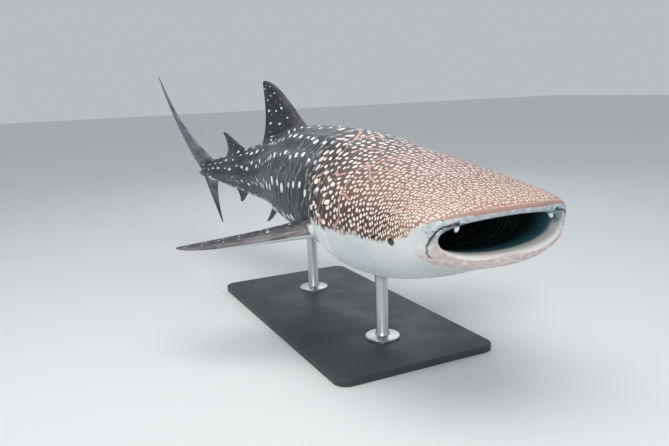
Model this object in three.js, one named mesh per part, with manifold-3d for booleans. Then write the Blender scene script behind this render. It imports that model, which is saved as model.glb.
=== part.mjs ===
import * as THREE from "three";
import { mergeVertices } from "three/addons/utils/BufferGeometryUtils.js";
import Module from "manifold-3d";

// A young whale shark, life size, swimming with its mouth wide open, on a low display stand.
// Millimetres. +X is the way the shark heads, +Y is its left and +Z is up.
// The origin is the middle of the stand's underside.
//
// The body is described by shares of its total length: back from the snout (a),
// to the left (b) and up (c). place() turns such a point to millimetres on the bent spine.

const totalLength = 5500;
const jointGap = 0.3;
const weldDistance = 1e-3;
const degree = Math.PI / 180;

const wasm = await Module();
wasm.setup();

// How the body lies
const pose = {
  axisHeight: 1010, // of the body's axis above the floor
  overBase: 0.355, // the share of the length that is over the middle of the base
  turn: [[0, 0], [0.3, 0], [0.45, -4], [0.62, 14], [0.78, 13], [0.9, -10], [1, -11]],
  lean: [[0, 0], [0.3, 0], [0.45, 3], [0.62, 11], [0.78, 17], [0.9, 19], [1, 18]],
  droop: [[0, 0], [0.3, 0], [0.45, 2], [1, 2.5]],
};

// The body's outline, as shares of the length
const halfWidth = [
  [0, 0.08], [0.012, 0.0865], [0.065, 0.0935], [0.15, 0.0995], [0.185, 0.1005],
  [0.24, 0.088], [0.3, 0.084], [0.42, 0.0745], [0.6, 0.045], [0.76, 0.0195], [0.82, 0.009],
];
const topLine = [
  [0, 0.0205], [0.012, 0.028], [0.05, 0.0385], [0.1, 0.0485], [0.15, 0.0575], [0.2, 0.0645],
  [0.25, 0.0725], [0.3, 0.0785], [0.42, 0.0785], [0.6, 0.05], [0.76, 0.0225], [0.82, 0.012],
];
const bottomLine = [
  [0, -0.029], [0.012, -0.0345], [0.05, -0.046], [0.1, -0.063], [0.15, -0.074], [0.22, -0.077],
  [0.42, -0.066], [0.6, -0.043], [0.76, -0.0205], [0.82, -0.01],
];
const widestLine = [[0, 0.003], [0.03, 0], [0.06, -0.005], [0.16, -0.013], [0.3, -0.004], [0.6, 0], [1, 0]];
const upperSquareness = [[0, 3.6], [0.06, 2.6], [0.2, 2.15], [1, 2.05]];
const lowerSquareness = [[0, 2.1], [0.1, 2.25], [0.3, 2.1], [1, 2]];

// The mouth
const mouth = {
  cornerBack: 0.02, // how far the corners lie behind the snout
  jawBack: 0.007, // how far the chin lies behind the snout
  pullFades: [0.01, 0.095], // over this stretch of the body
  corner: { angle: -9, spread: 17, pinch: 0.0055, fades: [0.005, 0.05] }, // drawn in at the corners
  opening: { half: 0.0684, level: -0.0008, up: 0.0166, down: 0.0175, squareness: 2.25, back: 0.55 },
  lipFrom: 0.006, // where the lips begin to round over
  lipRoll: 0.0075, // length of the rounding, front to back
  cavityFrom: 0.045, // the walls have widened from the opening by here
  cavity: [
    [0.006, 0.0136], [0.024, 0.018], [0.05, 0.021], [0.08, 0.024],
    [0.11, 0.029], [0.135, 0.041], [0.15, 0.058],
  ],
};

// The ridges along the flank, by their angle above the flank, and their height
const ridges = [
  { angle: [[0, 90], [1, 90]], height: [[0.22, 0], [0.3, 0.0022], [0.42, 0.002], [0.7, 0.0012], [0.8, 0]] },
  {
    angle: [[0, 66], [0.3, 64], [0.7, 58], [1, 58]],
    height: [[0.2, 0], [0.27, 0.0018], [0.55, 0.0018], [0.72, 0]],
  },
  {
    angle: [[0, 44], [0.3, 40], [0.7, 30], [1, 30]],
    height: [[0.23, 0], [0.3, 0.002], [0.6, 0.0022], [0.78, 0]],
  },
  {
    angle: [[0, 20], [0.3, 16], [0.6, 3], [0.75, 0], [1, 0]],
    height: [[0.24, 0], [0.36, 0.002], [0.6, 0.0045], [0.72, 0.0095], [0.79, 0.0115], [0.82, 0.008]],
  },
];
const stepsBetweenRidges = [3, 3, 3, 9]; // the last runs down to the belly's middle

// The five gill slits of each side
const gills = {
  first: 0.179,
  spacing: 0.0135,
  count: 5,
  flap: 0.0026, // how far a flap's rear edge stands out
  depth: 0.0034,
  low: -34, // degrees about the flank
  high: 46,
  taper: 14, // over which a slit fades out at either end
  slant: 0.006, // the upper ends lie this much further back
  rise: [-0.45, -0.02], // the flap swells over this share of the spacing
  fall: [0.08, 0.4], // and the slit behind it fades over this
};

// Where the body is parted
const neckCut = 0.168;
const gillCut = 0.25;
const tailCut = 0.6;
const jawCut = { at: 0.022, level: -0.0068, slope: 0.29 };

// A smooth curve through knots [x, y]
function through(knots, x) {
  if (x <= knots[0][0]) return knots[0][1];
  const last = knots.length - 1;
  if (x >= knots[last][0]) return knots[last][1];
  const slope = (i) => {
    if (i === 0 || i === last) return 0;
    return (knots[i + 1][1] - knots[i - 1][1]) / (knots[i + 1][0] - knots[i - 1][0]);
  };
  const i = knots.findIndex((knot) => knot[0] > x) - 1;
  const step = knots[i + 1][0] - knots[i][0];
  const t = (x - knots[i][0]) / step;
  const steepest = (3 * (knots[i + 1][1] - knots[i][1])) / step;
  const tame = (m) => (m * steepest <= 0 ? 0 : Math.sign(m) * Math.min(Math.abs(m), Math.abs(steepest)));
  const start = i === 0 ? steepest / 3 : tame(slope(i));
  const end = i + 1 === last ? steepest / 3 : tame(slope(i + 1));
  const t2 = t * t;
  const t3 = t2 * t;
  return (
    (2 * t3 - 3 * t2 + 1) * knots[i][1] +
    (t3 - 2 * t2 + t) * step * start +
    (3 * t2 - 2 * t3) * knots[i + 1][1] +
    (t3 - t2) * step * end
  );
}

const smoothstep = THREE.MathUtils.smoothstep;

// The spine: a place and three directions for each share of the length
const spineSteps = 400;
const spine = [];
{
  const point = new THREE.Vector3();
  for (let i = 0; i <= spineSteps; i++) {
    const a = i / spineSteps;
    const turn = through(pose.turn, a) * degree;
    const droop = through(pose.droop, a) * degree;
    const lean = through(pose.lean, a) * degree;
    const ahead = new THREE.Vector3(
      Math.cos(turn) * Math.cos(droop),
      Math.sin(turn) * Math.cos(droop),
      Math.sin(droop),
    );
    const level = new THREE.Vector3(0, 0, 1).cross(ahead).normalize();
    const left = level.clone().applyAxisAngle(ahead, lean);
    const up = ahead.clone().cross(left);
    if (i > 0) {
      point.addScaledVector(ahead, -totalLength / spineSteps);
    }
    spine.push({ point: point.clone(), ahead, left, up });
  }
  const over = spine[Math.round(pose.overBase * spineSteps)].point.clone();
  over.z -= pose.axisHeight;
  spine.forEach((s) => s.point.sub(over));
}

function spineAt(a) {
  const place = THREE.MathUtils.clamp(a, 0, 1) * spineSteps;
  const i = Math.min(Math.floor(place), spineSteps - 1);
  const t = place - i;
  const mix = (key) => spine[i][key].clone().lerp(spine[i + 1][key], t);
  return { point: mix("point"), ahead: mix("ahead"), left: mix("left"), up: mix("up") };
}

// A point (a, b, c) in shares of the length, on the bent body, in millimetres
function place(a, b, c) {
  const s = spineAt(a);
  const inFront = Math.min(a, 0); // the lips reach a little ahead of the spine's first point
  return s.point
    .addScaledVector(s.ahead, -inFront * totalLength)
    .addScaledVector(s.left, b * totalLength)
    .addScaledVector(s.up, c * totalLength);
}

// The angles of one ring's points, ridge by ridge, down the left side and up the right
function ringAngles(a) {
  const stops = ridges.map((ridge) => through(ridge.angle, a)).concat(-90);
  const side = [];
  stepsBetweenRidges.forEach((steps, i) => {
    for (let k = 0; k < steps; k++) {
      const angle = stops[i] + ((stops[i + 1] - stops[i]) * k) / steps;
      side.push({ angle, height: k === 0 ? through(ridges[i].height, a) : 0 });
    }
  });
  const mirrored = side
    .slice(1)
    .reverse()
    .map(({ angle, height }) => ({ angle: 180 - angle, height }));
  return [...side, { angle: -90, height: 0 }, ...mirrored];
}

// The angle above the flank, -90 to 90, on either side
function flankOf(angle) {
  return Math.asin(Math.sin(angle * degree)) / degree;
}

// How far a gill flap stands out, or a slit cuts in, at a place on the flank
function gillRelief(a, angle) {
  const flank = flankOf(angle);
  const { low, high, taper } = gills;
  const reach = smoothstep(flank, low, low + taper) * (1 - smoothstep(flank, high - taper, high));
  const back = a - gills.first - gills.slant * (flank / gills.high);
  const slit = Math.round(back / gills.spacing);
  if (slit < 0 || slit >= gills.count) return 0;
  const along = back / gills.spacing - slit; // -0.5 to 0.5 about the slit
  const rise = along <= 0 ? gills.flap * smoothstep(along, ...gills.rise) : 0;
  const cut = along > 0 ? -gills.depth * (1 - smoothstep(along, ...gills.fall)) : 0;
  return reach * (rise + cut);
}

// How far the mouth's corners and the chin lie behind the snout
function mouthPull(a, angle) {
  const warp = 1 - smoothstep(a, ...mouth.pullFades);
  const chin = Math.max(0, -Math.sin(angle * degree));
  return warp * (mouth.cornerBack * Math.cos(angle * degree) ** 2 + mouth.jawBack * chin ** 2);
}

function cornerPinch(a, angle) {
  const { corner } = mouth;
  const near = Math.exp(-(((flankOf(angle) - corner.angle) / corner.spread) ** 2));
  return corner.pinch * near * (1 - smoothstep(a, ...corner.fades));
}

// A power of a sine or cosine that keeps its sign
function squared(value, squareness) {
  return Math.sign(value) * Math.abs(value) ** (2 / squareness);
}

// One point of the body's surface. shrink takes the section in, as for the inside of the mouth.
function bodyPoint(a, angle, relief, shrink) {
  const cos = Math.cos(angle * degree);
  const sin = Math.sin(angle * degree);
  const widest = through(widestLine, a);
  const wide = through(halfWidth, a) - shrink - cornerPinch(a, angle);
  const tall = (sin > 0 ? through(topLine, a) - widest : widest - through(bottomLine, a)) - shrink;
  const squareness = through(sin > 0 ? upperSquareness : lowerSquareness, a);
  const b = wide * squared(cos, squareness) + relief * cos;
  const c = widest + tall * squared(sin, squareness) + relief * sin;
  return [a + mouthPull(a, angle), b, c];
}

// The inner edge of the lips
function openingPoint(a, angle) {
  const { opening } = mouth;
  const sin = Math.sin(angle * degree);
  const tall = sin > 0 ? opening.up : opening.down;
  const b = opening.half * squared(Math.cos(angle * degree), opening.squareness);
  const c = opening.level + tall * squared(sin, opening.squareness);
  return [a + opening.back * mouthPull(a, angle), b, c];
}

function mixed(from, to, share) {
  return from.map((value, i) => value + (to[i] - value) * share);
}

// Round the lip: 0 on its outside, 1 at the edge of the mouth
function lipPoint(angle, share) {
  const outer = bodyPoint(mouth.lipFrom, angle, 0, 0);
  const inner = openingPoint(mouth.lipFrom, angle);
  const [a, b, c] = mixed(outer, inner, (1 - Math.cos(share * Math.PI)) / 2);
  return [a - mouth.lipRoll * Math.sin(share * Math.PI), b, c];
}

function cavityPoint(a, angle) {
  const wall = bodyPoint(a, angle, 0, through(mouth.cavity, a));
  return mixed(openingPoint(a, angle), wall, smoothstep(a, mouth.lipFrom, mouth.cavityFrom));
}

function ring(a, grow) {
  return ringAngles(a).map(({ angle, height }) => {
    const relief = height + gillRelief(a, angle) + grow;
    return bodyPoint(a, angle, relief, 0);
  });
}

// A closed surface through rings of (a, b, c) points, with its ends fanned shut
function closedLoft(rings, toSpace = place) {
  const positions = [];
  const size = rings[0].length;
  rings.forEach((points) => points.forEach((p) => positions.push(...toSpace(...p).toArray())));
  const middle = (points) => {
    const sum = [0, 0, 0];
    points.forEach((p) => p.forEach((value, i) => (sum[i] += value / size)));
    return toSpace(...sum).toArray();
  };
  positions.push(...middle(rings[0]), ...middle(rings[rings.length - 1]));
  const first = rings.length * size;
  const index = [];
  for (let r = 0; r + 1 < rings.length; r++) {
    for (let k = 0; k < size; k++) {
      const here = r * size + k;
      const next = r * size + ((k + 1) % size);
      index.push(here, next, here + size, next, next + size, here + size);
    }
  }
  for (let k = 0; k < size; k++) {
    const next = (k + 1) % size;
    const lastRing = (rings.length - 1) * size;
    index.push(first, next, k, first + 1, lastRing + k, lastRing + next);
  }
  const geometry = new THREE.BufferGeometry();
  geometry.setAttribute("position", new THREE.Float32BufferAttribute(positions, 3));
  geometry.setIndex(index);
  return geometry;
}

// Between three.js geometries and solids that can be joined and cut
function solid(geometry, matrix) {
  const plain = geometry.clone();
  plain.deleteAttribute("normal");
  plain.deleteAttribute("uv");
  if (matrix) plain.applyMatrix4(matrix);
  const merged = mergeVertices(plain, weldDistance);
  const vertProperties = merged.attributes.position.array;
  const faces = new Uint32Array(merged.index.array);
  const build = (triVerts) => new wasm.Manifold(new wasm.Mesh({ numProp: 3, vertProperties, triVerts }));
  const made = build(faces);
  return made.volume() > 0 ? made : build(faces.reverse()); // the faces look outwards
}

function largest(made) {
  return made.decompose().sort((p, q) => q.volume() - p.volume())[0];
}

function geometryOf(made) {
  const { numProp, vertProperties, triVerts } = made.getMesh();
  const position = new Float32Array((vertProperties.length / numProp) * 3);
  for (let i = 0; i * numProp < vertProperties.length; i++) {
    position.set(vertProperties.subarray(i * numProp, i * numProp + 3), i * 3);
  }
  const geometry = new THREE.BufferGeometry();
  geometry.setAttribute("position", new THREE.BufferAttribute(position, 3));
  geometry.setIndex(new THREE.BufferAttribute(new Uint32Array(triVerts), 1));
  geometry.computeVertexNormals();
  return geometry;
}

// The body, from inside the mouth out round the lips and back to the tail
const headRings = [0.012, 0.022, 0.034, 0.048, 0.064, 0.08, 0.1, 0.12, 0.14, 0.158];
const trunkRings = [0.262, 0.28, 0.3, 0.33, 0.36, 0.39, 0.42, 0.45, 0.48, 0.51, 0.54, 0.57];
const stockRings = [0.595, 0.62, 0.645, 0.67, 0.695, 0.72, 0.745, 0.765, 0.785, 0.803];
const bodyEnd = 0.82;

function gillRings() {
  const stations = [];
  const along = [-0.45, -0.2, -0.02, 0.03, 0.3];
  for (let i = 0; i < gills.count; i++) {
    along.forEach((share) => stations.push(gills.first + (i + share) * gills.spacing));
  }
  return stations;
}

// The slits slant, so the rings through them slant with them
function slantedRing(a, grow) {
  return ringAngles(a).map(({ angle, height }) => {
    const flank = flankOf(angle);
    const slanted = a + gills.slant * THREE.MathUtils.clamp(flank / gills.high, -1, 1.4);
    return bodyPoint(slanted, angle, height + gillRelief(slanted, angle) + grow, 0);
  });
}

function outerRings(grow) {
  return [
    ...headRings.map((a) => ring(a, grow)),
    ...gillRings().map((a) => slantedRing(a, grow)),
    ...[...trunkRings, ...stockRings].map((a) => ring(a, grow)),
    ring(bodyEnd + grow, grow),
  ];
}

const cavityRings = [0.15, 0.135, 0.11, 0.08, 0.05, 0.028, 0.014];
const lipShares = [1, 0.8, 0.6, 0.4, 0.2, 0];

function bodyWithMouth() {
  const angles = ringAngles(0).map(({ angle }) => angle);
  return solid(
    closedLoft([
      ...cavityRings.map((a) => angles.map((angle) => cavityPoint(a, angle))),
      ...lipShares.map((share) => angles.map((angle) => lipPoint(angle, share))),
      ...outerRings(0),
    ]),
  );
}

const grownBody = solid(closedLoft(outerRings(jointGap / totalLength)));

// Thin slabs that part the body
const slabSize = 3000;

function slab(origin, along, across, upwards) {
  const matrix = new THREE.Matrix4().makeBasis(along, across, upwards).setPosition(origin);
  return solid(new THREE.BoxGeometry(jointGap, slabSize, slabSize), matrix);
}

function crossSlab(a) {
  const s = spineAt(a);
  const along = s.ahead.clone().normalize();
  const across = s.left.clone().projectOnPlane(along).normalize();
  return slab(s.point, along, across, along.clone().cross(across));
}

function jawSlab() {
  const s = spineAt(jawCut.at);
  const origin = place(jawCut.at, 0, jawCut.level);
  const rearwards = s.ahead.clone().multiplyScalar(-1).addScaledVector(s.up, -jawCut.slope).normalize();
  const across = s.left.clone().normalize();
  return slab(origin, across.clone().cross(rearwards).normalize(), across, rearwards);
}

// Eyes and spiracles, by their ring, their angle above the flank and how deep they sit
const eye = { a: 0.042, angle: -4, sink: 0.003, radius: 0.0042 };
const spiracle = { a: 0.0795, angle: 0.5, sink: 0, radius: 0.0024 };

// Nostrils and the flaps under them, by their angle and their share of the way round the lip
const nostril = { angle: 45, share: 0.64, lift: 0, length: 0.0042, radius: 0.0026 };
const nasalFlap = { angle: 42.5, share: 0.93, lift: -0.0012, length: 0.0045, radius: 0.003 };
const sides = { right: -1, left: 1 };

function onLip(spot, side) {
  const [a, b, c] = lipPoint(spot.angle, spot.share);
  return place(a, side * b, c + spot.lift);
}

function onFlank(spot, side) {
  const [a, b, c] = bodyPoint(spot.a, spot.angle, -spot.sink, 0);
  return place(a, side * b, c);
}

function ball(spot, side, radius, detail = 10) {
  const matrix = new THREE.Matrix4().setPosition(onFlank(spot, side));
  return solid(new THREE.SphereGeometry(radius * totalLength, detail * 2, detail), matrix);
}

const dropLean = 24; // degrees, its top towards the middle
const dropFlatness = 0.8;

function drop(spot, side, detail = 6) {
  const shape = new THREE.SphereGeometry(totalLength, detail * 2, detail);
  shape.scale(spot.radius, spot.radius * dropFlatness, spot.length);
  shape.rotateX(side * dropLean * degree);
  const matrix = new THREE.Matrix4().setPosition(onLip(spot, side));
  return solid(shape, matrix);
}

// A fin: a loft of thin lens sections between a leading and a trailing edge, both cubic curves
// The flare is what the root gains over the first rootSpan or so of the span.
const finForm = { thinning: 0.8, rootSpan: 0.11, fullest: 0.62, roundness: 0.85, tipThickness: 0.0006 };
const chordSteps = [0, 0.06, 0.2, 0.42, 0.7, 1];

function lens(share) {
  return Math.sin(Math.PI * share ** finForm.fullest) ** finForm.roundness;
}

function finSolid({ lead, trail, thickness, flare, spans = 11 }, toSpace) {
  const { thinning, rootSpan, tipThickness } = finForm;
  const edge = (points) => new THREE.CubicBezierCurve(...points.map(([x, y]) => new THREE.Vector2(x, y)));
  const leading = edge(lead);
  const trailing = edge(trail);
  const rings = [];
  for (let i = 0; i <= spans; i++) {
    const t = i / spans;
    const from = leading.getPoint(t);
    const to = trailing.getPoint(t);
    const half = (thickness * (1 - t) ** thinning + flare * Math.exp(-t / rootSpan)) / 2 + tipThickness;
    const point = (share, side) => {
      const [x, y] = from.clone().lerp(to, share).toArray();
      return [x, side * Math.max(half * lens(share), share === 0 ? 0 : tipThickness), y];
    };
    rings.push([
      ...chordSteps.map((share) => point(share, 1)),
      ...chordSteps.slice(1).reverse().map((share) => point(share, -1)),
    ]);
  }
  return solid(closedLoft(rings, toSpace));
}

const fins = {
  first_dorsal_fin: {
    lead: [[0.4, 0.066], [0.478, 0.078], [0.505, 0.145], [0.559, 0.152]],
    trail: [[0.612, 0.041], [0.572, 0.072], [0.566, 0.118], [0.5615, 0.1505]],
    thickness: 0.0125,
    flare: 0.016,
  },
  second_dorsal_fin: {
    lead: [[0.63, 0.034], [0.672, 0.044], [0.686, 0.071], [0.706, 0.074]],
    trail: [[0.728, 0.024], [0.705, 0.04], [0.702, 0.058], [0.708, 0.0732]],
    thickness: 0.0065,
    flare: 0.008,
  },
  anal_fin: {
    lead: [[0.655, -0.026], [0.69, -0.036], [0.704, -0.058], [0.722, -0.06]],
    trail: [[0.742, -0.018], [0.72, -0.032], [0.716, -0.047], [0.724, -0.0592]],
    thickness: 0.006,
    flare: 0.007,
  },
};

const caudalLobes = [
  {
    lead: [[0.765, 0.008], [0.812, 0.042], [0.89, 0.148], [0.985, 0.2]],
    trail: [[0.838, -0.012], [0.89, 0.03], [0.985, 0.112], [0.989, 0.1965]],
    thickness: 0.0145,
    flare: 0.014,
    spans: 14,
  },
  {
    lead: [[0.77, -0.006], [0.803, -0.03], [0.838, -0.09], [0.885, -0.125]],
    trail: [[0.842, 0.014], [0.866, -0.018], [0.862, -0.071], [0.8875, -0.1235]],
    thickness: 0.0125,
    flare: 0.014,
  },
];

// Paired fins lie in planes of their own, rooted in the flank
const pairedFins = {
  pectoral_fin: {
    root: [0.222, 0.084, -0.028],
    droop: 5,
    raise: 2, // the leading edge is above the trailing one
    arch: 0.43, // the tip hangs below the plane of the root
    lead: [[-0.012, -0.03], [0.008, 0.045], [0.04, 0.13], [0.121, 0.142]],
    trail: [[0.09, -0.03], [0.062, 0.03], [0.088, 0.09], [0.1235, 0.14]],
    thickness: 0.017,
    flare: 0.02,
    spans: 13,
  },
  pelvic_fin: {
    root: [0.492, 0.034, -0.036],
    droop: 62,
    raise: 0,
    arch: 0,
    lead: [[-0.004, -0.02], [0.012, 0.008], [0.02, 0.03], [0.042, 0.034]],
    trail: [[0.058, -0.02], [0.042, 0.008], [0.038, 0.02], [0.0445, 0.033]],
    thickness: 0.006,
    flare: 0.006,
    spans: 8,
  },
};

function pairedFin(spec, side) {
  const [a, b, c] = spec.root;
  const s = spineAt(a);
  const origin = place(a, side * b, c);
  const droop = -side * spec.droop * degree;
  const raise = -side * spec.raise * degree;
  const out = s.left.clone().multiplyScalar(side).applyAxisAngle(s.ahead, droop).normalize();
  const back = s.ahead.clone().multiplyScalar(-1).applyAxisAngle(out, raise).normalize();
  const normal = back.clone().cross(out).multiplyScalar(-side).normalize();
  const toSpace = (x, thick, y) =>
    origin
      .clone()
      .addScaledVector(back, x * totalLength)
      .addScaledVector(out, y * totalLength)
      .addScaledVector(normal, (thick - spec.arch * Math.max(0, y) ** 2) * totalLength);
  return finSolid(spec, toSpace);
}

// The stand: a low slab and two turned rods up to the belly
const stand = {
  length: 2300,
  width: 1150,
  height: 48,
  corner: 90,
  bevel: 8,
  rodRadius: 42,
  footRadius: 120,
  footHeight: 16,
  footEdge: 6.4,
  collarRadius: 52.5,
  collarHeight: 22,
  collarEnds: 42,
  flareLength: 150, // below the belly
  flareRadius: 50,
  flareBend: 60,
  padRadius: 78,
  padHeight: 14,
  intoBelly: 60, // the belly then trims it
  rods: { front: 0.235, rear: 0.47 },
};

function standBase() {
  const x = stand.length / 2 - stand.bevel;
  const y = stand.width / 2 - stand.bevel;
  const outline = new THREE.Shape();
  outline.moveTo(-x + stand.corner, -y);
  outline.lineTo(x - stand.corner, -y);
  outline.absarc(x - stand.corner, -y + stand.corner, stand.corner, -90 * degree, 0);
  outline.absarc(x - stand.corner, y - stand.corner, stand.corner, 0, 90 * degree);
  outline.absarc(-x + stand.corner, y - stand.corner, stand.corner, 90 * degree, 180 * degree);
  outline.absarc(-x + stand.corner, -y + stand.corner, stand.corner, 180 * degree, 270 * degree);
  const slabShape = new THREE.ExtrudeGeometry(outline, {
    depth: stand.height - 2 * stand.bevel,
    bevelThickness: stand.bevel,
    bevelSize: stand.bevel,
    bevelSegments: 1,
    curveSegments: 6,
  });
  return slabShape.translate(0, 0, stand.bevel);
}

function standRod(a) {
  const foot = stand.height + jointGap;
  const belly = place(a, 0, through(bottomLine, a));
  const top = belly.z + stand.intoBelly;
  const profile = [
    [0, foot],
    [stand.footRadius, foot],
    [stand.footRadius, foot + stand.footHeight - stand.footEdge],
    [stand.footRadius - stand.footEdge, foot + stand.footHeight],
    [stand.collarRadius, foot + stand.collarHeight],
    [stand.rodRadius, foot + stand.collarEnds],
    [stand.rodRadius, belly.z - stand.flareLength],
    [stand.flareRadius, belly.z - stand.flareBend],
    [stand.padRadius, belly.z - stand.padHeight],
    [stand.padRadius, top],
    [0, top],
  ].map(([radius, z]) => new THREE.Vector2(radius, z));
  const turned = new THREE.LatheGeometry(profile, 28);
  turned.rotateX(90 * degree); // a lathe turns about Y, so this stands it up
  turned.translate(belly.x, belly.y, 0);
  return largest(solid(turned).subtract(grownBody));
}

// Colours and finishes
function finish(color, roughness, metalness = 0) {
  return new THREE.MeshStandardMaterial({ color, roughness, metalness });
}

const finishes = {
  skin: finish(0x5b5658, 0.55),
  eye: finish(0x0c0d10, 0.12),
  base: finish(0x2f3236, 0.5),
  rod: finish(0xa9adb2, 0.3, 1),
};

const model = new THREE.Group();

function add(name, geometry, material) {
  const mesh = new THREE.Mesh(geometry, material);
  mesh.name = name;
  model.add(mesh);
}

// The body's nodes
let whole = bodyWithMouth();
[neckCut, gillCut, tailCut].forEach((a) => (whole = whole.subtract(crossSlab(a))));
const byX = (made) => {
  const { min, max } = made.boundingBox();
  return (min[0] + max[0]) / 2;
};
const lengths = whole
  .decompose()
  .sort((p, q) => q.volume() - p.volume())
  .slice(0, 4)
  .sort((p, q) => byX(q) - byX(p));
const halves = lengths[0]
  .subtract(jawSlab())
  .decompose()
  .sort((p, q) => q.volume() - p.volume())
  .slice(0, 2);
const middleHeight = (made) => made.boundingBox().min[2] + made.boundingBox().max[2];
let [lowerJaw, head] = halves.sort((p, q) => middleHeight(p) - middleHeight(q));

Object.entries(sides).forEach(([name, side]) => {
  head = head
    .subtract(ball(eye, side, eye.radius + jointGap / totalLength))
    .subtract(ball(spiracle, side, spiracle.radius, 6))
    .add(drop(nasalFlap, side))
    .subtract(drop(nostril, side));
  const matrix = new THREE.Matrix4().setPosition(onFlank(eye, side));
  const eyeball = new THREE.SphereGeometry(eye.radius * totalLength, 20, 10).applyMatrix4(matrix);
  add("eye_" + name, eyeball, finishes.eye);
});

add("head", geometryOf(largest(head)), finishes.skin);
add("lower_jaw", geometryOf(largest(lowerJaw)), finishes.skin);
add("gill_region", geometryOf(lengths[1]), finishes.skin);
add("torso", geometryOf(lengths[2]), finishes.skin);
add("tail_stock", geometryOf(lengths[3]), finishes.skin);

// The fins' nodes
Object.entries(fins).forEach(([name, spec]) => {
  add(name, geometryOf(largest(finSolid(spec, place).subtract(grownBody))), finishes.skin);
});
const caudal = finSolid(caudalLobes[0], place).add(finSolid(caudalLobes[1], place));
add("caudal_fin", geometryOf(largest(caudal.subtract(grownBody))), finishes.skin);
Object.entries(pairedFins).forEach(([name, spec]) => {
  Object.entries(sides).forEach(([sideName, side]) => {
    add(name + "_" + sideName, geometryOf(largest(pairedFin(spec, side).subtract(grownBody))), finishes.skin);
  });
});

// The stand's nodes
add("stand_base", standBase(), finishes.base);
Object.entries(stand.rods).forEach(([name, a]) => {
  add("stand_rod_" + name, geometryOf(standRod(a)), finishes.rod);
});

export default model;
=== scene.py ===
from math import cos, pi, radians, sin

import bpy
import numpy as np
from mathutils import Matrix, Vector


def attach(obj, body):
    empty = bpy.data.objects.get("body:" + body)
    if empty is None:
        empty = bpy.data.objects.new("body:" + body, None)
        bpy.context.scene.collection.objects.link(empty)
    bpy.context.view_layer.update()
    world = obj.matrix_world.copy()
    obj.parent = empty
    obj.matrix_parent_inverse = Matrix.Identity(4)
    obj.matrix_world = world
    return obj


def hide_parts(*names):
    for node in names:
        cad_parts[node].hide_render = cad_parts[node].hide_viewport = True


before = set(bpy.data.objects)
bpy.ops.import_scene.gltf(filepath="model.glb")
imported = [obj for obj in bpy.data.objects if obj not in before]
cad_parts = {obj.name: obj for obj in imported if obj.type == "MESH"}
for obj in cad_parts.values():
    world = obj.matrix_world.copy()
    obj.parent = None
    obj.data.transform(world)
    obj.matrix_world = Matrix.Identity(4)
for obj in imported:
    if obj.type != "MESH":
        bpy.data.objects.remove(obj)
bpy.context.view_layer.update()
print("frame loaded")

weldGap = 0.00002  # metres


# small helpers for objects and meshes

def setAll(item, settings):
    for key, value in settings.items():
        setattr(item, key, value)


def setMode(mode):
    bpy.ops.object.mode_set(mode=mode)


def clearSelection():
    if bpy.context.object and bpy.context.object.mode != "OBJECT":
        setMode("OBJECT")
    bpy.ops.object.select_all(action="DESELECT")


def takeNew(name):
    piece = bpy.context.object
    piece.name = name
    piece.data.name = name
    return piece


def coordsOf(piece, key="co"):
    flat = np.empty(len(piece.data.vertices) * 3)
    piece.data.vertices.foreach_get(key, flat)
    return flat.reshape(-1, 3)


def setCoords(piece, coords):
    piece.data.vertices.foreach_set("co", np.asarray(coords, float).ravel())
    piece.data.update()


def makeActive(piece):
    clearSelection()
    piece.select_set(True)
    bpy.context.view_layer.objects.active = piece


def inEditMode(piece, *steps):
    makeActive(piece)
    setMode("EDIT")
    bpy.ops.mesh.select_all(action="SELECT")
    for step in steps:
        step()
    setMode("OBJECT")


def tidyShell(piece):
    inEditMode(
        piece,
        lambda: bpy.ops.mesh.remove_doubles(threshold=weldGap),
        lambda: bpy.ops.mesh.normals_make_consistent(inside=False),
    )


def applyModifier(piece, kind, **settings):
    makeActive(piece)
    modifier = piece.modifiers.new(kind.lower(), kind)
    setAll(modifier, settings)
    bpy.ops.object.modifier_apply(modifier=modifier.name)


def combine(piece, other, operation):
    applyModifier(piece, "BOOLEAN", operation=operation, object=other, solver="MANIFOLD")


def joinOn(piece, other, operation="UNION"):
    combine(piece, other, operation)
    bpy.data.objects.remove(other)


def addObject(name, data):
    made = bpy.data.objects.new(name, data)
    bpy.context.collection.objects.link(made)
    return made


def smoothShade(piece, angle):
    makeActive(piece)
    bpy.ops.object.shade_smooth_by_angle(angle=radians(angle))


def wrapGrid(name, around, along, toPoint):
    # a flat grid, rolled up: columns run round the shape and rows run along it
    clearSelection()
    bpy.ops.mesh.primitive_grid_add(x_subdivisions=around, y_subdivisions=along, size=2)
    piece = takeNew(name)
    flat = coordsOf(piece)
    column = np.rint((flat[:, 0] + 1) / 2 * around).astype(int) % around
    row = np.rint((flat[:, 1] + 1) / 2 * along).astype(int)
    setCoords(piece, toPoint(column, row))
    tidyShell(piece)
    return piece


# curves and the bent spine

def smoothstep(x, low, high):
    t = np.clip((x - low) / (high - low), 0, 1)
    return t * t * (3 - 2 * t)


def through(knots, x):
    xs, ys = np.array(knots, float).T
    last = len(xs) - 1
    x = np.clip(np.asarray(x, float), xs[0], xs[-1])
    i = np.clip(np.searchsorted(xs, x, side="right") - 1, 0, last - 1)
    step = xs[i + 1] - xs[i]
    t = (x - xs[i]) / step
    steepest = 3 * (ys[i + 1] - ys[i]) / step
    slopes = np.zeros(len(xs))
    slopes[1:-1] = (ys[2:] - ys[:-2]) / (xs[2:] - xs[:-2])

    def tame(m):
        return np.where(m * steepest <= 0, 0, np.sign(m) * np.minimum(np.abs(m), np.abs(steepest)))

    start = np.where(i == 0, steepest / 3, tame(slopes[i]))
    end = np.where(i + 1 == last, steepest / 3, tame(slopes[i + 1]))
    t2, t3 = t * t, t * t * t
    return ((2 * t3 - 3 * t2 + 1) * ys[i] + (t3 - 2 * t2 + t) * step * start
            + (3 * t2 - 2 * t3) * ys[i + 1] + (t3 - t2) * step * end)


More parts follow.
